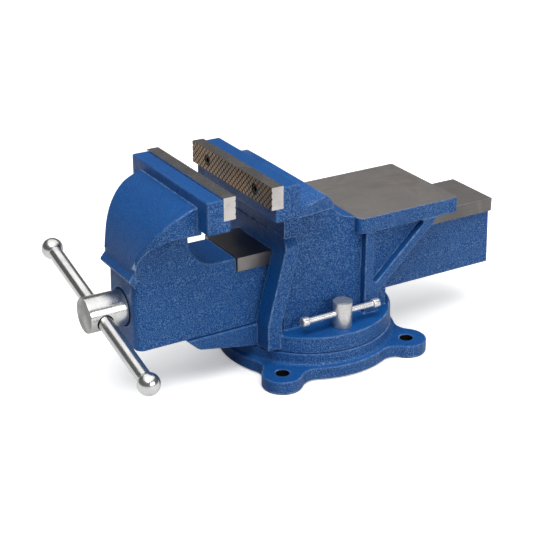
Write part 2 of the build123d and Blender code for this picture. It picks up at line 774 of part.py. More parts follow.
with BuildPart() as pivot_nut:
    with BuildSketch(Plane.XY.offset(pivot_nut_z)):
        RegularPolygon(pivot_head_width / 2, 6, major_radius=False)
        Circle(pivot_diameter / 2 + running_fit, mode=Mode.SUBTRACT)
    extrude(amount=pivot_nut_height)

# ---- handle: bar with a spigot at each end, and a ball on each spigot
shoulder = handle_half_length - sqrt(ball_radius**2 - (handle_diameter / 2) ** 2)
spigot_length = handle_half_length + spigot_past_centre - shoulder
with BuildPart() as handle_bar:
    with BuildSketch(handle_plane):
        Circle(handle_diameter / 2)
    extrude(amount=shoulder, both=True)
    with BuildSketch(handle_plane):
        Circle(spigot_diameter / 2)
    extrude(amount=shoulder + spigot_length, both=True)


def handle_ball(end):
    centre_plane = handle_plane.offset(end * handle_half_length)
    seat_plane = handle_plane.offset(end * shoulder)
    with BuildPart(centre_plane) as ball:
        Sphere(ball_radius)
        with BuildSketch(seat_plane):
            Circle(ball_radius)
        extrude(amount=-end * ball_radius, mode=Mode.SUBTRACT)
        with BuildSketch(seat_plane):
            Circle(spigot_diameter / 2 + running_fit)
        extrude(amount=end * spigot_length, mode=Mode.SUBTRACT)
    return ball.part


# ---- swivel lock, made for the near side (-1) and the far side (+1)
bar_z = disc_top + lock_bar_height


def lock_bolt(side):
    axis = Plane(origin=(0, side * lock_radius, disc_top + end_play))
    bar_plane = Plane(origin=(0, side * lock_radius, bar_z), x_dir=(0, 1, 0), z_dir=(1, 0, 0))
    with BuildPart() as bolt:
        with BuildSketch(axis):
            Circle(lock_barrel / 2)
        extrude(amount=lock_barrel_height)
        chamfer(bolt.edges().filter_by(GeomType.CIRCLE).sort_by(Axis.Z)[-1], lock_chamfer)
        with BuildSketch(axis):
            Circle(lock_shank / 2)
        extrude(amount=-(disc_top + end_play - slot_floor - lock_tip_gap))
        with BuildSketch(bar_plane):
            Circle(lock_bar_diameter / 2 + running_fit)
        extrude(amount=lock_barrel, both=True, mode=Mode.SUBTRACT)
    return bolt.part


def lock_bar(side):
    start = Plane(
        origin=(lock_head_end - lock_bar_reach_front, side * lock_radius, bar_z),
        x_dir=(0, 1, 0),
        z_dir=(1, 0, 0),
    )
    with BuildPart() as bar:
        with BuildSketch(start):
            Circle(lock_bar_diameter / 2)
        extrude(amount=lock_bar_reach_front + lock_bar_reach_rear - 2 * lock_head_end)
    return bar.part


def lock_bar_heads(side):
    with BuildPart() as heads:
        for end_x, inward in ((-lock_bar_reach_front, 1), (lock_bar_reach_rear, -1)):
            end = Plane(origin=(end_x, side * lock_radius, bar_z), x_dir=(0, 1, 0), z_dir=(inward, 0, 0))
            with BuildSketch(end):
                Circle(lock_head_diameter / 2)
            extrude(amount=lock_head_length)
        chamfer(heads.edges().filter_by(GeomType.CIRCLE), lock_chamfer)
        for end_x, inward in ((-lock_bar_reach_front, 1), (lock_bar_reach_rear, -1)):
            seat = Plane(
                origin=(end_x + inward * lock_head_end, side * lock_radius, bar_z),
                x_dir=(0, 1, 0),
                z_dir=(inward, 0, 0),
            )
            with BuildSketch(seat):
                Circle(lock_bar_diameter / 2 + running_fit)
            extrude(amount=lock_head_length, mode=Mode.SUBTRACT)
    return heads.part


def clamp_nut(side):
    nut_top = slot_floor + slot_head_height - end_play
    with BuildPart() as nut:
        with BuildSketch(Plane(origin=(0, side * lock_radius, nut_top))):
            RectangleRounded(clamp_nut_length, clamp_nut_width, clamp_nut_corner)
            Circle(lock_shank / 2 + running_fit, mode=Mode.SUBTRACT)
        extrude(amount=-clamp_nut_height)
    return nut.part


# ---- every piece by name
pieces = {
    "swivel_base": swivel_base.part,
    "body_casting": body_casting.part,
    "moving_jaw": moving_jaw.part,
    "fixed_jaw_plate": jaw_plate(fixed_face, -1),
    "moving_jaw_plate": jaw_plate(moving_face, 1),
    "fixed_plate_screws": plate_screws(fixed_face, -1),
    "moving_plate_screws": plate_screws(moving_face, 1),
    "lead_screw": lead_screw.part,
    "thrust_washer": thrust_washer.part,
    "retaining_collar": retaining_collar.part,
    "collar_pin": collar_pin.part,
    "screw_nut": screw_nut.part,
    "nut_bolts": nut_bolts.part,
    "nut_washers": nut_washers.part,
    "pivot_bolt": pivot_bolt.part,
    "pivot_washer": pivot_washer.part,
    "pivot_nut": pivot_nut.part,
    "handle_bar": handle_bar.part,
    "handle_ball_near": handle_ball(-1),
    "handle_ball_far": handle_ball(1),
}
for side, suffix in ((-1, "near"), (1, "far")):
    pieces["lock_bolt_" + suffix] = lock_bolt(side)
    pieces["lock_bar_" + suffix] = lock_bar(side)
    pieces["lock_bar_heads_" + suffix] = lock_bar_heads(side)
    pieces["clamp_nut_" + suffix] = clamp_nut(side)

for name, piece in pieces.items():
    piece.label = name
    export_step(piece, f"parts/{name}.step")
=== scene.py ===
from math import cos, pi, radians, sin, sqrt

import bmesh
import bpy
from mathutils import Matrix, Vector


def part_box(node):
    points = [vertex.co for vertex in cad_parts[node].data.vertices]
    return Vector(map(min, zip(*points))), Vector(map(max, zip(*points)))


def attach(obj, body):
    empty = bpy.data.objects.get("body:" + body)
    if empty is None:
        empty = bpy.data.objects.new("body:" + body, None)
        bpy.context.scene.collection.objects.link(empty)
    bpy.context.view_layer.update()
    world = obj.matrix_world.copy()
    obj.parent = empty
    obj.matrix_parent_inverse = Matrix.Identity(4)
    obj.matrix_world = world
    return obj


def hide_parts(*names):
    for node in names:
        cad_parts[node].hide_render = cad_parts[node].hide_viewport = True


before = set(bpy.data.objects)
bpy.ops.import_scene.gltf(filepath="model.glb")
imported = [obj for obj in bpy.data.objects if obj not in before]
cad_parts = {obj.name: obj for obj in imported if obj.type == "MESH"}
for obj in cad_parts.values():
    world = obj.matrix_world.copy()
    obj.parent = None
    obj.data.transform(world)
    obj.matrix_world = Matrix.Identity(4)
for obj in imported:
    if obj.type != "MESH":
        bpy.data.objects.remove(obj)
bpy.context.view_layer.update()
mm = 0.001
print("stage: frame loaded,", len(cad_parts), "nodes")


# selecting and shaping, as by hand

def objectMode():
    if bpy.context.object and bpy.context.object.mode != "OBJECT":
        bpy.ops.object.mode_set(mode="OBJECT")


def pick(*pieces):
    # selects only these pieces, the first of them active
    objectMode()
    bpy.ops.object.select_all(action="DESELECT")
    for piece in pieces:
        piece.select_set(True)
    bpy.context.view_layer.objects.active = pieces[0]


def editAll(piece):
    pick(piece)
    bpy.ops.object.mode_set(mode="EDIT")
    bpy.ops.mesh.select_all(action="SELECT")


def editFaces(piece, test):
    # edit mode with only the faces that pass test(centre, normal) selected
    pick(piece)
    bpy.ops.object.mode_set(mode="EDIT")
    bpy.ops.mesh.select_mode(type="FACE")
    bpy.ops.mesh.select_all(action="DESELECT")
    bpy.ops.object.mode_set(mode="OBJECT")
    for face in piece.data.polygons:
        face.select = bool(test(face.center, face.normal))
    bpy.ops.object.mode_set(mode="EDIT")


def editEdges(piece, test):
    # edit mode with only the edges that pass test(middle, direction) selected
    pick(piece)
    bpy.ops.object.mode_set(mode="EDIT")
    bpy.ops.mesh.select_mode(type="EDGE")
    bpy.ops.mesh.select_all(action="DESELECT")
    bpy.ops.object.mode_set(mode="OBJECT")
    points = piece.data.vertices
    for edge in piece.data.edges:
        a, b = (points[i].co for i in edge.vertices)
        edge.select = bool(test((a + b) / 2, (b - a).normalized()))
    bpy.ops.object.mode_set(mode="EDIT")


def editVertices(piece, test):
    # edit mode with only the vertices that pass test(place) selected
    pick(piece)
    bpy.ops.object.mode_set(mode="EDIT")
    bpy.ops.mesh.select_mode(type="VERT")
    bpy.ops.mesh.select_all(action="DESELECT")
    bpy.ops.object.mode_set(mode="OBJECT")
    for vertex in piece.data.vertices:
        vertex.select = bool(test(vertex.co))
    bpy.ops.object.mode_set(mode="EDIT")


def applyModifier(piece, kind, **values):
    pick(piece)
    modifier = piece.modifiers.new("step", kind)
    for key, value in values.items():
        setattr(modifier, key, value)
    bpy.ops.object.modifier_apply(modifier=modifier.name)


def placeInMesh(piece):
    pick(piece)
    bpy.ops.object.transform_apply(location=True, rotation=True, scale=True)


def cut(piece, tool):
    applyModifier(piece, "BOOLEAN", operation="DIFFERENCE", object=tool, solver="EXACT")
    bpy.data.objects.remove(tool)


def extrude(move):
    bpy.ops.mesh.extrude_region_move(TRANSFORM_OT_translate={"value": move})


def smooth(piece, angle=38):
    pick(piece)
    bpy.ops.object.shade_smooth_by_angle(angle=radians(angle))
    applyModifier(piece, "WEIGHTED_NORMAL", mode="FACE_AREA", weight=50, keep_sharp=True)


def addCylinder(name, radius, depth, centre, direction=(0, 0, 1), sides=64):
    objectMode()
    bpy.ops.object.select_all(action="DESELECT")
    turn = Vector((0, 0, 1)).rotation_difference(Vector(direction)).to_euler()
    bpy.ops.mesh.primitive_cylinder_add(
        vertices=sides, radius=radius, depth=depth, location=centre, rotation=turn
    )
    piece = bpy.context.object
    piece.name = piece.data.name = name
    placeInMesh(piece)
    return piece


def setMaterials(piece, *materials):
    piece.data.materials.clear()
    for material in materials:
        piece.data.materials.append(material)


def paintFaces(piece, index, test):
    for face in piece.data.polygons:
        if test(face.center, face.normal):
            face.material_index = index


def finishPiece(piece, body, slot, *nodes):
    piece.data.validate()
    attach(piece, body)
    if nodes:
        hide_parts(*nodes)
    return piece


# node building

def newGroup(name, inputs, outputs):
    group = bpy.data.node_groups.new(name, "ShaderNodeTree")
    for label, kind, value in inputs:
        socket = group.interface.new_socket(name=label, in_out="INPUT", socket_type=kind)
        if value is not None:
            socket.default_value = value
    for label, kind in outputs:
        group.interface.new_socket(name=label, in_out="OUTPUT", socket_type=kind)
    start = group.nodes.new("NodeGroupInput")
    end = group.nodes.new("NodeGroupOutput")
    return group, start, end


def node(tree, kind, inputs=None, **settings):
    made = tree.nodes.new(kind)
    for key, value in settings.items():
        setattr(made, key, value)
    for key, value in (inputs or {}).items():
        if isinstance(value, bpy.types.NodeSocket):
            tree.links.new(value, made.inputs[key])
        else:
            made.inputs[key].default_value = value
    return made


def math(tree, operation, a, b=0.0, clamp=False):
    return node(tree, "ShaderNodeMath", {0: a, 1: b}, operation=operation, use_clamp=clamp).outputs[0]


def ramp(tree, value, low, high, lowOut=0.0, highOut=1.0):
    made = node(
        tree, "ShaderNodeMapRange",
        {"Value": value, "From Min": low, "From Max": high, "To Min": lowOut, "To Max": highOut},
        interpolation_type="SMOOTHSTEP",
    )
    return made.outputs["Result"]


def blendColour(tree, factor, a, b, mode="MIX"):
    made = node(tree, "ShaderNodeMix", {0: factor, 6: a, 7: b}, data_type="RGBA", blend_type=mode)
    return made.outputs[2]


def noise(tree, vector, scale, detail=2.0, roughness=0.5, distortion=0.0):
    made = node(
        tree, "ShaderNodeTexNoise",
        {"Vector": vector, "Scale": scale, "Detail": detail, "Roughness": roughness,
         "Distortion": distortion},
    )
    return made.outputs["Fac"]


def makeCastSkin():
    # hammered enamel over a sand casting: pebbled height, pale flecks, and slow drifts of shade
    group, start, end = newGroup(
        "castSkin",
        [("Vector", "NodeSocketVector", None), ("Pebble Scale", "NodeSocketFloat", 620.0),
         ("Fleck Amount", "NodeSocketFloat", 0.5)],
        [("Height", "NodeSocketFloat"), ("Flecks", "NodeSocketFloat"), ("Pits", "NodeSocketFloat"),
         ("Drift", "NodeSocketFloat")],
    )
    vector, scale = start.outputs["Vector"], start.outputs["Pebble Scale"]
    pebbles = noise(group, vector, scale, 0.6, 0.5, 0.2)
    dimpleScale = math(group, "MULTIPLY", scale, 0.8)
    dimples = node(group, "ShaderNodeTexVoronoi", {"Vector": vector, "Scale": dimpleScale})
    lumps = noise(group, vector, math(group, "MULTIPLY", scale, 0.12), 2.0, 0.5)
    height = math(group, "MULTIPLY", pebbles, 0.7)
    height = math(group, "ADD", height, math(group, "MULTIPLY", dimples.outputs["Distance"], 0.35))
    height = math(group, "ADD", height, math(group, "MULTIPLY", lumps, 0.8))
    group.links.new(height, end.inputs["Height"])
    flecks = math(group, "MULTIPLY", ramp(group, pebbles, 0.49, 0.66), start.outputs["Fleck Amount"])
    group.links.new(flecks, end.inputs["Flecks"])
    group.links.new(ramp(group, pebbles, 0.50, 0.32), end.inputs["Pits"])
    group.links.new(ramp(group, noise(group, vector, 14.0, 3.0, 0.6), 0.3, 0.7), end.inputs["Drift"])
    return group


def makeEdgeWearAndHighlight():
    # where the surface turns sharply, broken up so that the rub is patchy: partly rubbed paint, partly a
    # painted edge highlight
    group, start, end = newGroup(
        "edgeWearAndHighlight",
        [("Vector", "NodeSocketVector", None), ("Reach", "NodeSocketFloat", 0.0015),
         ("Patch Scale", "NodeSocketFloat", 160.0)],
        [("Edge", "NodeSocketFloat"), ("Worn And Glinting", "NodeSocketFloat")],
    )
    rounded = node(group, "ShaderNodeBevel", {"Radius": start.outputs["Reach"]}, samples=4)
    true = node(group, "ShaderNodeNewGeometry")
    dot = node(
        group, "ShaderNodeVectorMath",
        {0: rounded.outputs["Normal"], 1: true.outputs["Normal"]}, operation="DOT_PRODUCT",
    )
    edge = ramp(group, dot.outputs["Value"], 0.995, 0.90)
    patches = noise(group, start.outputs["Vector"], start.outputs["Patch Scale"], 3.0, 0.65)
    patch = ramp(group, patches, 0.42, 0.62)
    group.links.new(edge, end.inputs["Edge"])
    group.links.new(math(group, "MULTIPLY", edge, patch), end.inputs["Worn And Glinting"])
    return group


def makeGroundLines():
    # fine lines that a grinder or lathe leaves, drawn out along the stretch given
    group, start, end = newGroup(
        "groundLines",
        [("Vector", "NodeSocketVector", None), ("Stretch", "NodeSocketVector", (30.0, 2200.0, 2200.0)),
         ("Smear Scale", "NodeSocketFloat", 22.0)],
        [("Lines", "NodeSocketFloat"), ("Smears And Reflections", "NodeSocketFloat")],
    )
    drawn = node(
        group, "ShaderNodeVectorMath",
        {0: start.outputs["Vector"], 1: start.outputs["Stretch"]}, operation="MULTIPLY",
    )
    fine = noise(group, drawn.outputs[0], 1.0, 3.0, 0.65)
    group.links.new(ramp(group, fine, 0.28, 0.72), end.inputs["Lines"])
    # slow patches: random tone, and on the anvil top and the plate lands painted reflections
    smearsAndReflections = noise(group, start.outputs["Vector"], start.outputs["Smear Scale"], 4.0, 0.55, 0.6)
    group.links.new(ramp(group, smearsAndReflections, 0.32, 0.68), end.inputs["Smears And Reflections"])
    return group


castSkin = makeCastSkin()
edgeWearAndHighlight = makeEdgeWearAndHighlight()
groundLines = makeGroundLines()


def startMaterial(name, **values):
    material = bpy.data.materials.new(name)
    material.use_nodes = True
    tree = material.node_tree
    tree.nodes.clear()
    output = tree.nodes.new("ShaderNodeOutputMaterial")
    shader = tree.nodes.new("ShaderNodeBsdfPrincipled")
    tree.links.new(shader.outputs[0], output.inputs["Surface"])
    for key, value in values.items():
        shader.inputs[key.replace("_", " ")].default_value = value
    place = tree.nodes.new("ShaderNodeTexCoord").outputs["Object"]
    return material, tree, shader, place


def normalOf(tree):
    return tree.nodes.new("ShaderNodeTexCoord").outputs["Normal"]


def enamel(name, values):
    material, tree, shader, place = startMaterial(name, Specular_IOR_Level=values["specular"])
    skin = tree.nodes.new("ShaderNodeGroup")
    skin.node_tree = castSkin
    tree.links.new(place, skin.inputs["Vector"])
    skin.inputs["Pebble Scale"].default_value = values["pebbleScale"]
    skin.inputs["Fleck Amount"].default_value = values["flecks"]
    wearAndHighlight = tree.nodes.new("ShaderNodeGroup")
    wearAndHighlight.node_tree = edgeWearAndHighlight
    tree.links.new(place, wearAndHighlight.inputs["Vector"])
    wearAndHighlight.inputs["Reach"].default_value = values["edgeReach"]
    colour = blendColour(tree, skin.outputs["Drift"], values["deep"], values["colour"])
    colour = blendColour(tree, math(tree, "MULTIPLY", skin.outputs["Pits"], values["pits"]), colour,
                         values["pitColour"])
    # painted sheen: the pale flecks are painted stronger on faces that turn to ±Y, standing in for the light
    # the flanks catch, and stay weak on the tops and the hood
    facing = node(tree, "ShaderNodeSeparateXYZ", {0: normalOf(tree)})
    flank = ramp(tree, math(tree, "ABSOLUTE", facing.outputs[1]), 0.25, 0.9, *values["flankSheenShare"])
    flecks = math(tree, "MULTIPLY", skin.outputs["Flecks"], flank)
    colour = blendColour(tree, flecks, colour, values["fleckColour"])
    # edges are painted paler: partly rubbed paint, partly a painted highlight where edges catch the light
    glint = math(tree, "ADD", math(tree, "MULTIPLY", wearAndHighlight.outputs["Edge"], 0.35), wearAndHighlight.outputs["Worn And Glinting"])
    colour = blendColour(tree, math(tree, "MULTIPLY", glint, values["edgeWearHighlightAmount"], True),
                         colour, values["edgeWearHighlightColour"])
    tree.links.new(colour, shader.inputs["Base Color"])
    # the flecks are metal flake, so they answer to the light round them
    tree.links.new(math(tree, "MULTIPLY", flecks, values["fleckMetal"]), shader.inputs["Metallic"])
    roughest, smoothest = values["roughness"] + 0.05, values["roughness"] - 0.04
    rough = ramp(tree, skin.outputs["Drift"], 0.0, 1.0, roughest, smoothest)
    tree.links.new(rough, shader.inputs["Roughness"])
    bump = node(
        tree, "ShaderNodeBump",
        {"Height": skin.outputs["Height"], "Strength": values["bump"],
         "Distance": values["bumpDistance"]},
    )
    tree.links.new(bump.outputs[0], shader.inputs["Normal"])
    return material


def machined(name, values):
    material, tree, shader, place = startMaterial(name, Specular_IOR_Level=0.5)
    lines = tree.nodes.new("ShaderNodeGroup")
    lines.node_tree = groundLines
    tree.links.new(place, lines.inputs["Vector"])
    lines.inputs["Stretch"].default_value = values["stretch"]
    lines.inputs["Smear Scale"].default_value = values["smearScale"]
    colour = blendColour(tree, lines.outputs["Smears And Reflections"], values["dark"], values["pale"])
    shade = math(tree, "MULTIPLY", lines.outputs["Lines"], values["lineAmount"])
    colour = blendColour(tree, shade, colour, values["lineColour"])
    if "throatShade" in values:
        # painted shade: the surface is painted darker from one place along X to another, standing in for the
        # shade between the jaws
        along = node(tree, "ShaderNodeSeparateXYZ", {0: place}).outputs[0]
        colour = blendColour(tree, ramp(tree, along, *values["throatShadeReach"]), colour, values["throatShade"])
    tree.links.new(colour, shader.inputs["Base Color"])
    shader.inputs["Metallic"].default_value = values.get("metallic", 1.0)
    low, high = values["roughness"]
    tree.links.new(ramp(tree, lines.outputs["Smears And Reflections"], 0.0, 1.0, high, low), shader.inputs["Roughness"])
    bump = node(
        tree, "ShaderNodeBump",
        {"Height": lines.outputs["Lines"], "Strength": values["bump"], "Distance": 0.00008},
    )
    tree.links.new(bump.outputs[0], shader.inputs["Normal"])
    return material


enamelValues = {
    "colour": (0.002, 0.087, 0.318, 1), "deep": (0.002, 0.073, 0.275, 1),
    "fleckColour": (0.16, 0.29, 0.52, 1), "edgeWearHighlightColour": (0.30, 0.43, 0.64, 1),
    "pitColour": (0.002, 0.040, 0.170, 1), "pits": 0.6,
    # the flecks are painted stronger on the flanks as a painted sheen; edges are painted paler, partly worn
    # paint and partly a painted highlight
    "flecks": 0.72, "fleckMetal": 0.75, "flankSheenShare": (0.10, 1.0), "edgeWearHighlightAmount": 0.95, "edgeReach": 0.0019,
    "roughness": 0.33, "specular": 0.25, "pebbleScale": 1180.0, "bump": 1.0, "bumpDistance": 0.0010,
}
enamelBlue = enamel("hammered blue enamel", enamelValues)

# the anvil's pale and dark smears are painted soft reflections on its ground top
machinedTop = machined("ground iron, anvil", {
    "dark": (0.40, 0.365, 0.345, 1), "pale": (0.98, 0.92, 0.88, 1), "lineColour": (0.26, 0.235, 0.22, 1),
    "lineAmount": 0.35, "roughness": (0.30, 0.42), "stretch": (18.0, 1500.0, 1500.0),
    "smearScale": 14.0, "bump": 0.35,
})
# the rail's top is painted darker forward of the body: painted shade in the throat between the jaws
machinedRail = machined("ground iron, rail", {
    "dark": (0.38, 0.355, 0.34, 1), "pale": (0.66, 0.62, 0.60, 1), "lineColour": (0.26, 0.235, 0.22, 1),
    "lineAmount": 0.35, "roughness": (0.32, 0.42), "stretch": (18.0, 1500.0, 1500.0),
    "smearScale": 14.0, "bump": 0.35, "throatShade": (0.20, 0.19, 0.185, 1), "throatShadeReach": (0.02, -0.06),
})
plateSteel = machined("ground steel, jaw plates", {
    "dark": (0.58, 0.55, 0.535, 1), "pale": (0.78, 0.75, 0.73, 1), "lineColour": (0.42, 0.40, 0.385, 1),
    "lineAmount": 0.3, "roughness": (0.20, 0.28), "stretch": (2200.0, 40.0, 2200.0),
    "smearScale": 30.0, "bump": 0.25,
})
# the orange-brown patches on the lands are a painted glint, standing in for orange reflections
gripSteel = machined("jaw plate lands", {
    "dark": (0.27, 0.225, 0.19, 1), "pale": (0.30, 0.19, 0.11, 1), "lineColour": (0.15, 0.115, 0.09, 1),
    "lineAmount": 0.4, "roughness": (0.30, 0.42), "stretch": (2200.0, 60.0, 2200.0),
    "smearScale": 26.0, "bump": 0.3,
})
# the groove walls are painted near black: painted shade in the grooves
grooveSteel = machined("jaw plate grooves", {
    "dark": (0.035, 0.022, 0.014, 1), "pale": (0.09, 0.058, 0.035, 1), "lineColour": (0.02, 0.014, 0.01, 1),
    "lineAmount": 0.5, "roughness": (0.45, 0.6), "stretch": (900.0, 900.0, 900.0),
    "smearScale": 90.0, "bump": 0.3, "metallic": 0.85,
})
chrome = machined("polished chrome", {
    "dark": (0.70, 0.695, 0.685, 1), "pale": (0.84, 0.835, 0.825, 1), "lineColour": (0.56, 0.555, 0.545, 1),
    "lineAmount": 0.25, "roughness": (0.20, 0.27), "stretch": (900.0, 120.0, 120.0),
    "smearScale": 35.0, "bump": 0.04,
})
# painted shade: a darker copy of the rail's ground iron for its flanks, as dark as the painted throat shade
# all along
railFlankShade = machined("ground iron, rail flanks", {
    "dark": (0.17, 0.16, 0.153, 1), "pale": (0.27, 0.255, 0.245, 1), "lineColour": (0.12, 0.11, 0.105, 1),
    "lineAmount": 0.35, "roughness": (0.32, 0.42), "stretch": (18.0, 1500.0, 1500.0),
    "smearScale": 18.0, "bump": 0.35,
})
# painted shade: the hub's turned front face is a darker copy of the hub steel
hubFace = machined("turned steel, hub face", {
    "dark": (0.24, 0.237, 0.233, 1), "pale": (0.46, 0.455, 0.45, 1), "lineColour": (0.18, 0.177, 0.174, 1),
    "lineAmount": 0.35, "roughness": (0.24, 0.34), "stretch": (200.0, 700.0, 700.0),
    "smearScale": 55.0, "bump": 0.25,
})
barChrome = machined("polished chrome, lock bars", {
    "dark": (0.76, 0.755, 0.745, 1), "pale": (0.88, 0.875, 0.865, 1), "lineColour": (0.62, 0.615, 0.605, 1),
    "lineAmount": 0.15, "roughness": (0.20, 0.26), "stretch": (60.0, 500.0, 500.0),
    "smearScale": 40.0, "bump": 0.02, "metallic": 0.75,
})
turnedSteel = machined("turned steel", {
    "dark": (0.62, 0.61, 0.59, 1), "pale": (0.84, 0.83, 0.81, 1), "lineColour": (0.46, 0.45, 0.44, 1),
    "lineAmount": 0.3, "roughness": (0.24, 0.33), "stretch": (60.0, 60.0, 1500.0),
    "smearScale": 60.0, "bump": 0.12, "metallic": 0.85,
})
plainSteel = machined("plain steel", {
    "dark": (0.30, 0.29, 0.28, 1), "pale": (0.50, 0.49, 0.47, 1), "lineColour": (0.22, 0.21, 0.20, 1),
    "lineAmount": 0.4, "roughness": (0.30, 0.45), "stretch": (700.0, 700.0, 90.0),
    "smearScale": 50.0, "bump": 0.3,
})
blackOxideAndHoleShade = machined("black oxide", {
    "dark": (0.012, 0.011, 0.011, 1), "pale": (0.035, 0.032, 0.03, 1), "lineColour": (0.06, 0.055, 0.05, 1),
    "lineAmount": 0.3, "roughness": (0.35, 0.5), "stretch": (600.0, 600.0, 600.0),
    "smearScale": 120.0, "bump": 0.25, "metallic": 0.9,
})
nutIron = machined("cast iron, screw nut", {
    "dark": (0.06, 0.056, 0.052, 1), "pale": (0.14, 0.13, 0.12, 1), "lineColour": (0.04, 0.037, 0.035, 1),
    "lineAmount": 0.5, "roughness": (0.5, 0.68), "stretch": (450.0, 450.0, 450.0),
    "smearScale": 40.0, "bump": 0.7,
})
print("stage: materials made")


# castings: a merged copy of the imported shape, with its corners filleted and its edges rounded

def edgeTurns(piece):
    # every edge's turn between its two faces, in degrees and negative in an inside corner, and its middle
    mesh = bmesh.new()
    mesh.from_mesh(piece.data)
    turns = []
    for edge in mesh.edges:
        turn = 0.0
        if len(edge.link_faces) == 2:
            turn = edge.calc_face_angle_signed(0.0) * 180 / pi
        turns.append((turn, (edge.verts[0].co + edge.verts[1].co) / 2))
    mesh.free()
    return turns


def roundEdges(piece, width, segments, weigh):
    # weigh(turn, middle) gives each edge its share of the width, from 0 to 1
    weights = piece.data.attributes.get("bevel_weight_edge")
    if weights is None:
        weights = piece.data.attributes.new("bevel_weight_edge", "FLOAT", "EDGE")
    shares = [weigh(*values) for values in edgeTurns(piece)]
    weights.data.foreach_set("value", shares)
    applyModifier(
        piece, "BEVEL", width=width, segments=segments, limit_method="WEIGHT",
        use_clamp_overlap=False, miter_outer="MITER_SHARP", miter_inner="MITER_SHARP",
    )
    weights = piece.data.attributes.get("bevel_weight_edge")
    if weights is not None:
        piece.data.attributes.remove(weights)


def castingCopy(nodeName, name):
    piece = bpy.data.objects.new(name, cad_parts[nodeName].data.copy())
    bpy.context.scene.collection.objects.link(piece)
    piece.data.name = name
    editAll(piece)
    bpy.ops.mesh.customdata_custom_splitnormals_clear()
    bpy.ops.mesh.remove_doubles(threshold=2e-6)
    bpy.ops.mesh.dissolve_limited(angle_limit=radians(0.6), delimit=set())
    objectMode()
    return piece


def between(value, limits):
    return limits[0] < value < limits[1]


# an edge that turns less than this, in degrees, isn't rounded
leastTurn = 32

bodyValues = {
    "edgeRadius": 1.3 * mm, "filletRadius": 2.2 * mm, "anvilTop": 144.0 * mm, "anvilFront": 22.0 * mm,
    "blockBottom": 170.0 * mm, "blockRoundTop": 172.4 * mm, "blockRear": -14 * mm, "blockDrop": 2.2 * mm,
    "paintReach": 0.4 * mm,
    # shares of the edge radius, and where each holds, in millimetres
    "hiddenShare": 0.12, "tunnelHalf": 33, "tunnelHeights": (49.5, 123),
    "seatHeight": 26.2, "seatHalf": 40, "seatFront": -76,
    "topShare": 0.18, "topHeight": 143.5,
    "filletTurn": -40, "filletHeight": 42.1, "filletHalf": 54.4, "filletRoof": 130,
}


def weighBody(turn, middle):
    v = bodyValues
    x, y, z = middle / mm
    if abs(turn) < leastTurn:
        return 0.0
    inTunnel = abs(y) < v["tunnelHalf"] and between(z, v["tunnelHeights"])
    onSeat = z < v["seatHeight"] and abs(y) < v["seatHalf"] and x > v["seatFront"]
    if inTunnel or onSeat:
        return v["hiddenShare"]
    if z > v["topHeight"]:
        return v["topShare"]
    return 1.0 if turn > 0 else 0.0


def weighBodyFillet(turn, middle):
    v = bodyValues
    x, y, z = middle / mm
    if turn > v["filletTurn"] or abs(y) < v["tunnelHalf"] or z > v["filletRoof"]:
        return 0.0
    if abs(z - v["filletHeight"]) < 0.3 and abs(y) < v["filletHalf"]:
        return 1.0
    return 0.0


bodyCasting = castingCopy("body_casting", "bodyCasting")
# the fixed block's underside comes down a little, level with the lower edge of its plate's seat
editVertices(
    bodyCasting,
    lambda place: bodyValues["blockBottom"] < place.z < bodyValues["blockRoundTop"]
    and place.x < bodyValues["blockRear"],
)
bpy.ops.transform.translate(value=(0, 0, -bodyValues["blockDrop"]))
objectMode()
roundEdges(bodyCasting, bodyValues["filletRadius"], 3, weighBodyFillet)
roundEdges(bodyCasting, bodyValues["edgeRadius"], 3, weighBody)
smooth(bodyCasting)
setMaterials(bodyCasting, enamelBlue, machinedTop)
paintFaces(
    bodyCasting, 1,
    lambda centre, normal: normal.z > 0.99 and centre.x > bodyValues["anvilFront"]
    and centre.z > bodyValues["anvilTop"] - bodyValues["paintReach"]
    and centre.z < bodyValues["anvilTop"] + bodyValues["paintReach"],
)
finishPiece(bodyCasting, "body", "body_enamel", "body_casting")

jawValues = {
    "edgeRadius": 1.3 * mm, "railFront": -97.5 * mm, "railBottom": 108.2 * mm, "railTop": 122.3 * mm,
    "hollowRadius": 35.5 * mm, "hollowCentre": (-166.0 * mm, 0, 130.5 * mm),
    "slope": (-199.2 * mm, 0, 125.6 * mm), "slopeNormal": (-0.763, 0, 0.647),
    "flank": (0, 27.35 * mm, 132.7 * mm), "flankNormal": (0, 0.9988, 0.05), "fillerWidth": 62 * mm,
    "paintReach": 0.6 * mm,
    # shares of the edge radius, and where each holds, in millimetres
    "railShare": 0.25, "railStart": -97.5, "railHeights": (107, 124),
    "cornerShare": 0.25, "cornerRear": -195, "cornerSides": (25, 37), "cornerHeights": (118, 147),
    "innerShare": 0.15, "innerHalf": 20, "innerRoof": 105,
}


def fillHood(casting):
    # closes the hood on the slide with the hollow's round, kept only above the slide's slope and
    # between its flanks
    v = jawValues
    filler = addCylinder("filler", v["hollowRadius"], v["fillerWidth"], v["hollowCentre"], (0, 1, 0), 72)
    x, y, z = v["flank"]
    nx, ny, nz = v["flankNormal"]
    for side in (-1, 1):
        editAll(filler)
        bpy.ops.mesh.bisect(
            plane_co=(x, side * y, z), plane_no=(nx, side * ny, nz), clear_outer=True, use_fill=True
        )
    editAll(filler)
    bpy.ops.mesh.bisect(plane_co=v["slope"], plane_no=v["slopeNormal"], clear_inner=True, use_fill=True)
    bpy.ops.mesh.select_all(action="SELECT")
    bpy.ops.mesh.normals_make_consistent(inside=False)
    objectMode()
    applyModifier(casting, "BOOLEAN", operation="UNION", object=filler, solver="EXACT")
    bpy.data.objects.remove(filler)


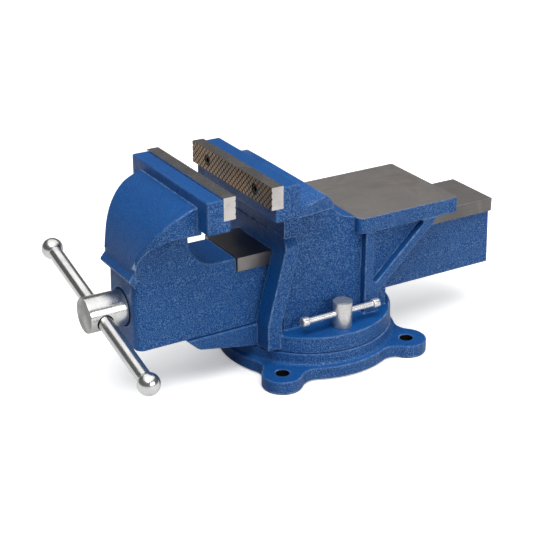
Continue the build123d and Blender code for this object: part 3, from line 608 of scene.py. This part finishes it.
def weighJaw(turn, middle):
    v = jawValues
    x, y, z = middle / mm
    if abs(turn) < leastTurn:
        return 0.0
    if x > v["railStart"] and between(z, v["railHeights"]):
        return v["railShare"]
    # narrow faces where the hood meets the slide
    if x < v["cornerRear"] and between(abs(y), v["cornerSides"]) and between(z, v["cornerHeights"]):
        return v["cornerShare"]
    if abs(y) < v["innerHalf"] and z < v["innerRoof"]:
        return v["innerShare"]
    return 1.0 if turn > 0 else 0.0


def onRail(centre, normal):
    v = jawValues
    return centre.x > v["railFront"] and v["railBottom"] - v["paintReach"] < centre.z < v["railTop"]


movingCasting = castingCopy("moving_jaw", "movingCasting")
fillHood(movingCasting)
roundEdges(movingCasting, jawValues["edgeRadius"], 3, weighJaw)
smooth(movingCasting)
setMaterials(movingCasting, enamelBlue, machinedRail, railFlankShade)
paintFaces(movingCasting, 1, onRail)
# the rail's flanks get the darker copy: painted shade
paintFaces(movingCasting, 2, lambda centre, normal: onRail(centre, normal) and abs(normal.y) > 0.9)
finishPiece(movingCasting, "jaw", "jaw_enamel", "moving_jaw")


baseValues = {
    "edgeRadius": 1.3 * mm, "boltCircle": 101.5 * mm, "holeRadius": 6.5 * mm, "paintReach": 0.4 * mm,
    # shares of the edge radius, and where each holds, in millimetres
    "footHeight": 3, "innerShare": 0.15, "innerRadius": 80,
}
lugHoles = [
    Vector((baseValues["boltCircle"] * cos(radians(angle)), baseValues["boltCircle"] * sin(radians(angle))))
    for angle in (45, 135, 225, 315)
]


def weighBase(turn, middle):
    v = baseValues
    x, y, z = middle / mm
    # the feet's steps are too small to round
    if abs(turn) < leastTurn or z < v["footHeight"]:
        return 0.0
    if sqrt(x * x + y * y) < v["innerRadius"]:
        return v["innerShare"]
    return 1.0 if turn > 0 else 0.0


def inLugHole(centre, normal):
    reach = baseValues["holeRadius"] + baseValues["paintReach"]
    return abs(normal.z) < 0.4 and any((centre.xy - hole).length < reach for hole in lugHoles)


baseCasting = castingCopy("swivel_base", "baseCasting")
roundEdges(baseCasting, baseValues["edgeRadius"], 3, weighBase)
smooth(baseCasting)
setMaterials(baseCasting, enamelBlue, blackOxideAndHoleShade)
# the drilled bolt holes are painted near-black steel inside: painted shade in the holes
paintFaces(baseCasting, 1, inLugHole)
finishPiece(baseCasting, "base", "base_enamel", "swivel_base")
print("stage: castings made")


# jaw plates: diamond lands between two crossing sets of grooves, and counterbored holes

plateValues = {
    "pitch": 4.4 * mm, "grooveWidth": 1.0 * mm, "grooveDepth": 0.75 * mm, "tilt": 45.0,
    "counterbore": 5.4 * mm, "boreDepth": 6.5 * mm, "holeRadius": 3.4 * mm, "holeSpacing": 90 * mm,
    "screwDrop": 10.8 * mm, "cutOver": 3 * mm, "throughReach": 12 * mm,
}


def makePlate(nodeName, name, facing):
    low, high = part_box(nodeName)
    faceX = high.x if facing > 0 else low.x
    backX = low.x if facing > 0 else high.x
    floorX = faceX - facing * plateValues["grooveDepth"]
    middle = Vector((floorX, (low.y + high.y) / 2, (low.z + high.z) / 2))
    span = (high.y - low.y) / 2 + (high.z - low.z) / 2
    count = int(2 * span / sqrt(2) / plateValues["pitch"]) + 3
    objectMode()
    bpy.ops.object.select_all(action="DESELECT")
    bpy.ops.mesh.primitive_grid_add(
        x_subdivisions=count, y_subdivisions=count, size=count * plateValues["pitch"],
        location=middle, rotation=(0, facing * radians(90), 0),
    )
    plate = bpy.context.object
    plate.name = plate.data.name = name
    placeInMesh(plate)
    editAll(plate)
    bpy.ops.transform.rotate(
        value=radians(plateValues["tilt"]), orient_axis="X", center_override=middle
    )
    bpy.ops.mesh.inset(
        thickness=plateValues["grooveWidth"] / 2, depth=plateValues["grooveDepth"], use_individual=True
    )
    for point, normal in (
        ((0, low.y, 0), (0, -1, 0)), ((0, high.y, 0), (0, 1, 0)),
        ((0, 0, low.z), (0, 0, -1)), ((0, 0, high.z), (0, 0, 1)),
    ):
        bpy.ops.mesh.select_all(action="SELECT")
        bpy.ops.mesh.bisect(plane_co=point, plane_no=normal, clear_outer=True)
    bpy.ops.mesh.select_mode(type="EDGE")
    bpy.ops.mesh.select_all(action="DESELECT")
    bpy.ops.mesh.select_non_manifold()
    depth = abs(faceX - backX) + plateValues["cutOver"]
    extrude((-facing * depth, 0, 0))
    bpy.ops.mesh.select_all(action="SELECT")
    bpy.ops.mesh.bisect(
        plane_co=(backX, 0, 0), plane_no=(-facing, 0, 0), clear_outer=True, use_fill=True
    )
    bpy.ops.mesh.select_all(action="SELECT")
    bpy.ops.mesh.remove_doubles(threshold=1e-6)
    bpy.ops.mesh.normals_make_consistent(inside=False)
    bpy.ops.mesh.dissolve_limited(angle_limit=radians(1), delimit=set())
    objectMode()
    for side in (-1, 1):
        reach = plateValues["boreDepth"] + plateValues["cutOver"]
        boreX = faceX - facing * plateValues["boreDepth"] + facing * reach / 2
        y, z = side * plateValues["holeSpacing"] / 2, high.z - plateValues["screwDrop"]
        bore = addCylinder("bore", plateValues["counterbore"], reach, (boreX, y, z), (1, 0, 0), 48)
        editFaces(bore, lambda c, n: n.x * facing < -0.9)
        bpy.ops.mesh.inset(thickness=plateValues["counterbore"] - plateValues["holeRadius"], depth=0)
        extrude((-facing * plateValues["throughReach"], 0, 0))
        objectMode()
        cut(plate, bore)
    setMaterials(plate, plateSteel, gripSteel, grooveSteel)
    paintFaces(plate, 1, lambda c, n: abs(c.x - faceX) < 0.05 * mm and n.x * facing > 0.98)
    # groove walls get the near-black steel: painted shade
    paintFaces(
        plate, 2,
        lambda c, n: 0.05 * mm < (faceX - c.x) * facing < plateValues["grooveDepth"] + 0.05 * mm
        and 0.05 < n.x * facing < 0.98,
    )
    return plate


finishPiece(makePlate("fixed_jaw_plate", "fixedPlate", -1), "body", "plate_steel", "fixed_jaw_plate")
finishPiece(makePlate("moving_jaw_plate", "movingPlate", 1), "jaw", "plate_steel", "moving_jaw_plate")
print("stage: jaw plates made")


# plate screws: socket heads in the counterbores

screwValues = {
    "head": 5.0 * mm, "headLength": 6.0 * mm, "shank": 3.0 * mm, "shankLength": 18 * mm,
    "socket": 2.9 * mm, "socketDepth": 3.0 * mm, "headRound": 0.6 * mm,
}


def makePlateScrews(nodeName, name, facing):
    low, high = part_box(nodeName)
    topX = high.x if facing > 0 else low.x
    z = (low.z + high.z) / 2
    screws = []
    for side in (-1, 1):
        y = side * plateValues["holeSpacing"] / 2
        length = screwValues["headLength"]
        screw = addCylinder(
            name, screwValues["head"], length, (topX - facing * length / 2, y, z), (1, 0, 0), 48
        )
        editFaces(screw, lambda c, n: n.x * facing < -0.9)
        bpy.ops.mesh.inset(thickness=screwValues["head"] - screwValues["shank"], depth=0)
        extrude((-facing * screwValues["shankLength"], 0, 0))
        editEdges(screw, lambda m, d: abs(m.x - topX) < 0.01 * mm)
        bpy.ops.mesh.bevel(offset=screwValues["headRound"], segments=3)
        objectMode()
        socket = addCylinder(
            "socket", screwValues["socket"], 2 * screwValues["socketDepth"], (topX, y, z), (1, 0, 0), 6
        )
        cut(screw, socket)
        screws.append(screw)
    pick(*screws)
    bpy.ops.object.join()
    smooth(screws[0])
    setMaterials(screws[0], blackOxideAndHoleShade)
    return screws[0]


finishPiece(makePlateScrews("fixed_plate_screws", "fixedPlateScrews", -1), "body", "black_screw",
            "fixed_plate_screws")
finishPiece(makePlateScrews("moving_plate_screws", "movingPlateScrews", 1), "jaw", "black_screw",
            "moving_plate_screws")
print("stage: plate screws made")


# lead screw: bored hub, journal and a square-cornered thread

leadValues = {
    "hubRadius": 17 * mm, "hubLength": 38.6 * mm, "hubChamfer": 1.5 * mm, "coreRadius": 9.6 * mm,
    "crestRadius": 12.0 * mm, "pitch": 6 * mm, "threadStart": -172 * mm, "boreRadius": 7.05 * mm,
    "mouthRadius": 8.0 * mm, "mouthFloor": 14.3 * mm, "mouthStep": 0.8 * mm,
    "mouthReach": 20 * mm, "handleFromFront": 14 * mm, "tilt": 13.7,
    # the front face's rings, each as a width and a depth
    "faceRings": ((9.5 * mm, 0), (0.5 * mm, -0.15 * mm), (3.2 * mm, 0), (1.6 * mm, -0.3 * mm)),
    "threadInset": 3 * mm, "rootDepth": 0.5 * mm, "tipShare": 0.26, "footFlare": 1.45,
}
leadLow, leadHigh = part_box("lead_screw")
screwZ = (leadLow.z + leadHigh.z) / 2
handleX = leadLow.x + leadValues["handleFromFront"]
handleAxis = Vector((0, cos(radians(leadValues["tilt"])), sin(radians(leadValues["tilt"]))))
handleCentre = Vector((handleX, 0, screwZ))


def makeLeadScrew():
    v = leadValues
    hub = addCylinder(
        "leadScrew", v["hubRadius"], v["hubLength"], (leadLow.x + v["hubLength"] / 2, 0, screwZ),
        (1, 0, 0), 96,
    )
    # journal and threaded rod grow from the hub's rear face
    editFaces(hub, lambda c, n: n.x > 0.9)
    bpy.ops.mesh.inset(thickness=v["hubRadius"] - v["crestRadius"], depth=0)
    journal = v["threadStart"] - (leadLow.x + v["hubLength"])
    extrude((journal, 0, 0))
    bpy.ops.mesh.inset(thickness=v["crestRadius"] - v["coreRadius"], depth=0)
    rod = leadHigh.x - v["threadStart"]
    extrude((rod, 0, 0))
    front, rear = leadLow.x, leadLow.x + v["hubLength"]
    editEdges(
        hub,
        lambda m, d: (abs(m.x - front) < 0.01 * mm or abs(m.x - rear) < 0.01 * mm)
        and sqrt(m.y ** 2 + (m.z - screwZ) ** 2) > v["hubRadius"] - 0.1 * mm,
    )
    bpy.ops.mesh.bevel(offset=v["hubChamfer"], segments=2, profile=0.6)
    objectMode()
    # the front face is turned: shallow rings and a centre mark
    editFaces(hub, lambda c, n: n.x < -0.9 and c.x < front + 0.1 * mm)
    for width, depth in v["faceRings"]:
        bpy.ops.mesh.inset(thickness=width, depth=depth)
    objectMode()
    # the bore opens out a little at each mouth, and is cut in one go
    bore = addCylinder("bore", v["boreRadius"], 2 * v["mouthFloor"], handleCentre, handleAxis, 64)
    flare = v["mouthRadius"] / v["boreRadius"]
    for end in (-1, 1):
        editFaces(bore, lambda c, n: n.dot(handleAxis) * end > 0.9)
        step = end * v["mouthStep"] * handleAxis
        extrude(step)
        mouth = handleCentre + end * v["mouthFloor"] * handleAxis + step
        bpy.ops.transform.resize(value=(flare, flare, flare), center_override=mouth)
        extrude(end * v["mouthReach"] * handleAxis)
        objectMode()
    cut(hub, bore)
    # thread: one turn's profile, wound by the screw modifier
    objectMode()
    bpy.ops.object.select_all(action="DESELECT")
    bpy.ops.mesh.primitive_plane_add(size=1, location=(0, 0, 0))
    thread = bpy.context.object
    thread.name = thread.data.name = "thread"
    width, tip, root = v["tipShare"] * v["pitch"], v["crestRadius"], v["coreRadius"] - v["rootDepth"]
    foot = width * v["footFlare"]
    corners = ((-foot, root), (foot, root), (width, tip), (-width, tip))
    # the plane's vertices run 0, 1, 3, 2 round its edge
    for index, (along, out) in zip((0, 1, 3, 2), corners):
        thread.data.vertices[index].co = (v["threadStart"] + v["threadInset"] + along, out, 0)
    turns = int((rod - 2 * v["threadInset"]) / v["pitch"])
    applyModifier(
        thread, "SCREW", axis="X", angle=2 * pi, screw_offset=v["pitch"], iterations=turns,
        steps=40, render_steps=40, use_merge_vertices=False, use_smooth_shade=False,
    )
    editAll(thread)
    bpy.ops.mesh.remove_doubles(threshold=1e-6)
    bpy.ops.transform.translate(value=(0, 0, screwZ))
    bpy.ops.mesh.fill_holes(sides=4)
    bpy.ops.mesh.normals_make_consistent(inside=False)
    objectMode()
    pick(hub, thread)
    bpy.ops.object.join()
    smooth(hub, 32)
    setMaterials(hub, chrome, plainSteel, hubFace, blackOxideAndHoleShade)
    paintFaces(hub, 1, lambda c, n: c.x > rear + 1 * mm)
    # the front face gets the darker steel: painted shade
    paintFaces(hub, 2, lambda c, n: c.x < front + 0.3 * mm and n.x < -0.9)

    def inBore(centre, normal):
        # the bore and its mouths look back at the handle's axis
        offset = centre - handleCentre
        offset -= offset.dot(handleAxis) * handleAxis
        near = offset.length < v["mouthRadius"] + 0.1 * mm
        return near and normal.dot(offset) < 0 and centre.x < rear - 1 * mm

    # the bore and its mouths are painted near-black steel: painted shade inside the hole
    paintFaces(hub, 3, inBore)
    return hub


finishPiece(makeLeadScrew(), "screw", "screw_chrome", "lead_screw")
print("stage: lead screw made")


# handle: bar and two balls

handleValues = {
    "radius": 7 * mm, "reach": 105.7 * mm, "ballRadius": 10.5 * mm, "spigot": 5 * mm,
    "spigotPast": 1 * mm, "spigotShort": 0.3 * mm, "chamfer": 0.25 * mm,
}


def makeHandle():
    v = handleValues
    shoulder = v["reach"] - sqrt(v["ballRadius"] ** 2 - v["radius"] ** 2)
    bar = addCylinder("handleBar", v["radius"], 2 * shoulder, handleCentre, handleAxis, 64)
    for end in (-1, 1):
        # a spigot for the ball at each end
        editFaces(bar, lambda c, n: n.dot(handleAxis) * end > 0.9)
        bpy.ops.mesh.inset(thickness=v["chamfer"], depth=v["chamfer"])
        bpy.ops.mesh.inset(thickness=v["radius"] - v["spigot"] - v["chamfer"], depth=0)
        length = v["reach"] + v["spigotPast"] - shoulder - v["spigotShort"]
        extrude(end * length * handleAxis)
    objectMode()
    smooth(bar)
    setMaterials(bar, chrome)
    finishPiece(bar, "handle", "handle_chrome", "handle_bar")
    for end, name, nodeName in (
        (-1, "handleBallNear", "handle_ball_near"), (1, "handleBallFar", "handle_ball_far")
    ):
        centre = handleCentre + end * v["reach"] * handleAxis
        turn = Vector((0, 0, 1)).rotation_difference(end * handleAxis).to_euler()
        objectMode()
        bpy.ops.object.select_all(action="DESELECT")
        bpy.ops.mesh.primitive_uv_sphere_add(
            segments=64, ring_count=40, radius=v["ballRadius"], location=centre, rotation=turn
        )
        ball = bpy.context.object
        ball.name = ball.data.name = name
        placeInMesh(ball)
        editAll(ball)
        bpy.ops.mesh.bisect(
            plane_co=handleCentre + end * (shoulder + v["chamfer"]) * handleAxis, plane_no=-end * handleAxis,
            clear_outer=True, use_fill=True,
        )
        editFaces(ball, lambda c, n: n.dot(handleAxis) * end < -0.999)
        bpy.ops.mesh.inset(thickness=0.4 * mm, depth=0.3 * mm)
        objectMode()
        bore = addCylinder(
            "bore", v["spigot"] + 0.05 * mm, 2 * (v["reach"] + v["spigotPast"] - shoulder),
            handleCentre + end * shoulder * handleAxis, handleAxis, 48,
        )
        cut(ball, bore)
        smooth(ball)
        setMaterials(ball, chrome)
        finishPiece(ball, "handle", "handle_chrome", nodeName)


makeHandle()
print("stage: handle made")


# swivel locks: turned bolt, bar through it and a head on each end of the bar

lockValues = {
    "barrel": 9.5 * mm, "barrelHeight": 26 * mm, "chamfer": 1.0 * mm, "shank": 6 * mm,
    "bar": 3 * mm, "barHeight": 56.1 * mm, "head": 4.75 * mm, "headLength": 7.5 * mm,
    "headChamfer": 1.3 * mm, "offset": 64 * mm, "boreLength": 40 * mm, "boreEnd": 1 * mm,
    "play": 0.05 * mm, "rings": 4,
}


def makeLock(side, suffix):
    v = lockValues
    low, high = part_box("lock_bolt_" + suffix)
    y = side * v["offset"]
    top = high.z
    bolt = addCylinder(
        "lockBolt" + suffix.title(), v["barrel"], v["barrelHeight"], (0, y, top - v["barrelHeight"] / 2),
        (0, 0, 1), 72,
    )
    editFaces(bolt, lambda c, n: n.z < -0.9)
    bpy.ops.mesh.inset(thickness=0.5 * mm, depth=0)
    bpy.ops.mesh.inset(thickness=v["barrel"] - v["shank"] - 0.5 * mm, depth=0)
    extrude((0, 0, low.z - (top - v["barrelHeight"])))
    editEdges(bolt, lambda m, d: abs(m.z - top) < 0.01 * mm)
    bpy.ops.mesh.bevel(offset=v["chamfer"], segments=3, profile=0.55)
    # turning rings on the top face
    editFaces(bolt, lambda c, n: n.z > 0.95 and c.z > top - 0.1 * mm)
    for ring in range(v["rings"]):
        bpy.ops.mesh.inset(thickness=1.3 * mm, depth=0)
        bpy.ops.mesh.inset(thickness=0.25 * mm, depth=-0.12 * mm)
        bpy.ops.mesh.inset(thickness=0.25 * mm, depth=0.12 * mm)
    objectMode()
    boreRadius = v["bar"] + v["play"]
    bore = addCylinder("bore", boreRadius, v["boreLength"], (0, y, v["barHeight"]), (1, 0, 0), 48)
    cut(bolt, bore)
    smooth(bolt, 30)
    setMaterials(bolt, turnedSteel)
    finishPiece(bolt, "lock_" + suffix, "lock_steel", "lock_bolt_" + suffix)

    barLow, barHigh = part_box("lock_bar_" + suffix)
    bar = addCylinder(
        "lockBar" + suffix.title(), v["bar"], barHigh.x - barLow.x,
        ((barLow.x + barHigh.x) / 2, y, v["barHeight"]), (1, 0, 0), 48,
    )
    editFaces(bar, lambda c, n: abs(n.x) > 0.9)
    bpy.ops.mesh.inset(thickness=0.4 * mm, depth=0.3 * mm, use_individual=True)
    objectMode()
    smooth(bar)
    setMaterials(bar, barChrome)
    finishPiece(bar, "lock_handle_" + suffix, "handle_chrome", "lock_bar_" + suffix)

    headLow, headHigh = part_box("lock_bar_heads_" + suffix)
    heads = []
    for x, inward in ((headLow.x, 1), (headHigh.x, -1)):
        head = addCylinder(
            "lockHeads" + suffix.title(), v["head"], v["headLength"],
            (x + inward * v["headLength"] / 2, y, v["barHeight"]), (1, 0, 0), 48,
        )
        editEdges(head, lambda m, d: abs(d.x) < 0.1)
        bpy.ops.mesh.bevel(offset=v["headChamfer"], segments=3, profile=0.5)
        objectMode()
        # blind bore for the bar, open on the inner end
        bore = addCylinder(
            "bore", boreRadius, 2 * (v["headLength"] - v["boreEnd"]),
            (x + inward * v["headLength"], y, v["barHeight"]), (1, 0, 0), 48,
        )
        cut(head, bore)
        heads.append(head)
    pick(*heads)
    bpy.ops.object.join()
    smooth(heads[0], 30)
    setMaterials(heads[0], barChrome)
    finishPiece(heads[0], "lock_handle_" + suffix, "handle_chrome", "lock_bar_heads_" + suffix)


makeLock(-1, "near")
makeLock(1, "far")
print("stage: swivel locks made")


# CAD nodes that stay: better materials in their own slots

keptMaterials = {
    "thrust_washer": plainSteel, "retaining_collar": plainSteel, "collar_pin": plainSteel,
    "pivot_bolt": plainSteel, "pivot_washer": plainSteel, "pivot_nut": plainSteel,
    "nut_washers": plainSteel, "clamp_nut_near": plainSteel, "clamp_nut_far": plainSteel,
    "nut_bolts": blackOxideAndHoleShade, "screw_nut": nutIron,
}
for nodeName, material in keptMaterials.items():
    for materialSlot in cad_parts[nodeName].material_slots:
        materialSlot.material = material
print("stage: kept nodes painted")


# floor, lights and camera

stageValues = {
    "floorSize": 30.0, "floorSeen": (0.95, 0.95, 0.95, 1), "floorBounce": (0.30, 0.30, 0.32, 1),
    "floorGloss": (0.66, 0.66, 0.66, 1),
    "floorLift": (0.34, 0.34, 0.34, 1),  # keeps the shadow on the floor pale
    "seenColour": (1, 1, 1, 1), "worldSeen": 1.0, "glowColour": (0.95, 0.97, 1, 1), "worldGlow": 0.11,
    "sunPower": 2.1, "sunSpread": 45, "sunAim": (0.22, 0.34, -1.0),
    # each softbox's name, place, target, width, height and power
    "softboxes": (
        ("front softbox", (0.3, -1.9, 0.8), (0, 0, 0.1), 1.6, 0.9, 15),
        ("ceiling softbox", (0.2, 0.35, 1.9), (0.1, 0.2, 0.1), 3.4, 3.0, 34),
    ),
}
objectMode()
bpy.ops.object.select_all(action="DESELECT")
bpy.ops.mesh.primitive_plane_add(size=stageValues["floorSize"], location=(0, 0, 0))
floor = bpy.context.object
floor.name = "floor"
placeInMesh(floor)
floorMaterial, tree, shader, place = startMaterial("pale floor", Roughness=0.75)
floorRays = node(tree, "ShaderNodeLightPath")
floorShade = blendColour(
    tree, floorRays.outputs["Is Diffuse Ray"], stageValues["floorSeen"], stageValues["floorBounce"]
)
floorShade = blendColour(tree, floorRays.outputs["Is Glossy Ray"], floorShade, stageValues["floorGloss"])
tree.links.new(floorShade, shader.inputs["Base Color"])
shader.inputs["Emission Color"].default_value = stageValues["floorLift"]
tree.links.new(floorRays.outputs["Is Camera Ray"], shader.inputs["Emission Strength"])
setMaterials(floor, floorMaterial)

world = bpy.data.worlds.new("studio")
bpy.context.scene.world = world
world.use_nodes = True
worldTree = world.node_tree
worldTree.nodes.clear()
seen = node(
    worldTree, "ShaderNodeBackground",
    {"Color": stageValues["seenColour"], "Strength": stageValues["worldSeen"]},
)
glow = node(
    worldTree, "ShaderNodeBackground",
    {"Color": stageValues["glowColour"], "Strength": stageValues["worldGlow"]},
)
rays = node(worldTree, "ShaderNodeLightPath")
mixed = node(worldTree, "ShaderNodeMixShader", {0: rays.outputs["Is Camera Ray"]})
worldTree.links.new(glow.outputs[0], mixed.inputs[1])
worldTree.links.new(seen.outputs[0], mixed.inputs[2])
worldOut = node(worldTree, "ShaderNodeOutputWorld")
worldTree.links.new(mixed.outputs[0], worldOut.inputs["Surface"])


def addSoftbox(name, place, target, width, height, power):
    light = bpy.data.lights.new(name, "AREA")
    light.shape = "RECTANGLE"
    light.size, light.size_y, light.energy = width, height, power
    box = bpy.data.objects.new(name, light)
    bpy.context.scene.collection.objects.link(box)
    box.location = place
    aim = Vector(target) - Vector(place)
    box.rotation_euler = aim.to_track_quat("-Z", "Y").to_euler()


sunData = bpy.data.lights.new("broad overhead", "SUN")
sunData.energy, sunData.angle = stageValues["sunPower"], radians(stageValues["sunSpread"])
sun = bpy.data.objects.new("broad overhead", sunData)
bpy.context.scene.collection.objects.link(sun)
sun.rotation_euler = Vector(stageValues["sunAim"]).to_track_quat("-Z", "Y").to_euler()
for softbox in stageValues["softboxes"]:
    addSoftbox(*softbox)

cameraValues = {
    "place": (-0.66526, -1.04354, 0.637), "azimuth": -30.70, "elevation": 24.32, "lens": 92.22,
    "sensor": 36.0, "clip": (0.05, 60),
}
cameraData = bpy.data.cameras.new("camera")
cameraData.lens, cameraData.sensor_width = cameraValues["lens"], cameraValues["sensor"]
cameraData.clip_start, cameraData.clip_end = cameraValues["clip"]
camera = bpy.data.objects.new("camera", cameraData)
bpy.context.scene.collection.objects.link(camera)
camera.location = cameraValues["place"]
azimuth, elevation = radians(cameraValues["azimuth"]), radians(cameraValues["elevation"])
back = Vector((sin(azimuth) * cos(elevation), -cos(azimuth) * cos(elevation), sin(elevation)))
camera.rotation_euler = (-back).to_track_quat("-Z", "Y").to_euler()
bpy.context.scene.camera = camera
bpy.context.scene.view_settings.view_transform = "Standard"
print("stage: floor, lights and camera set")
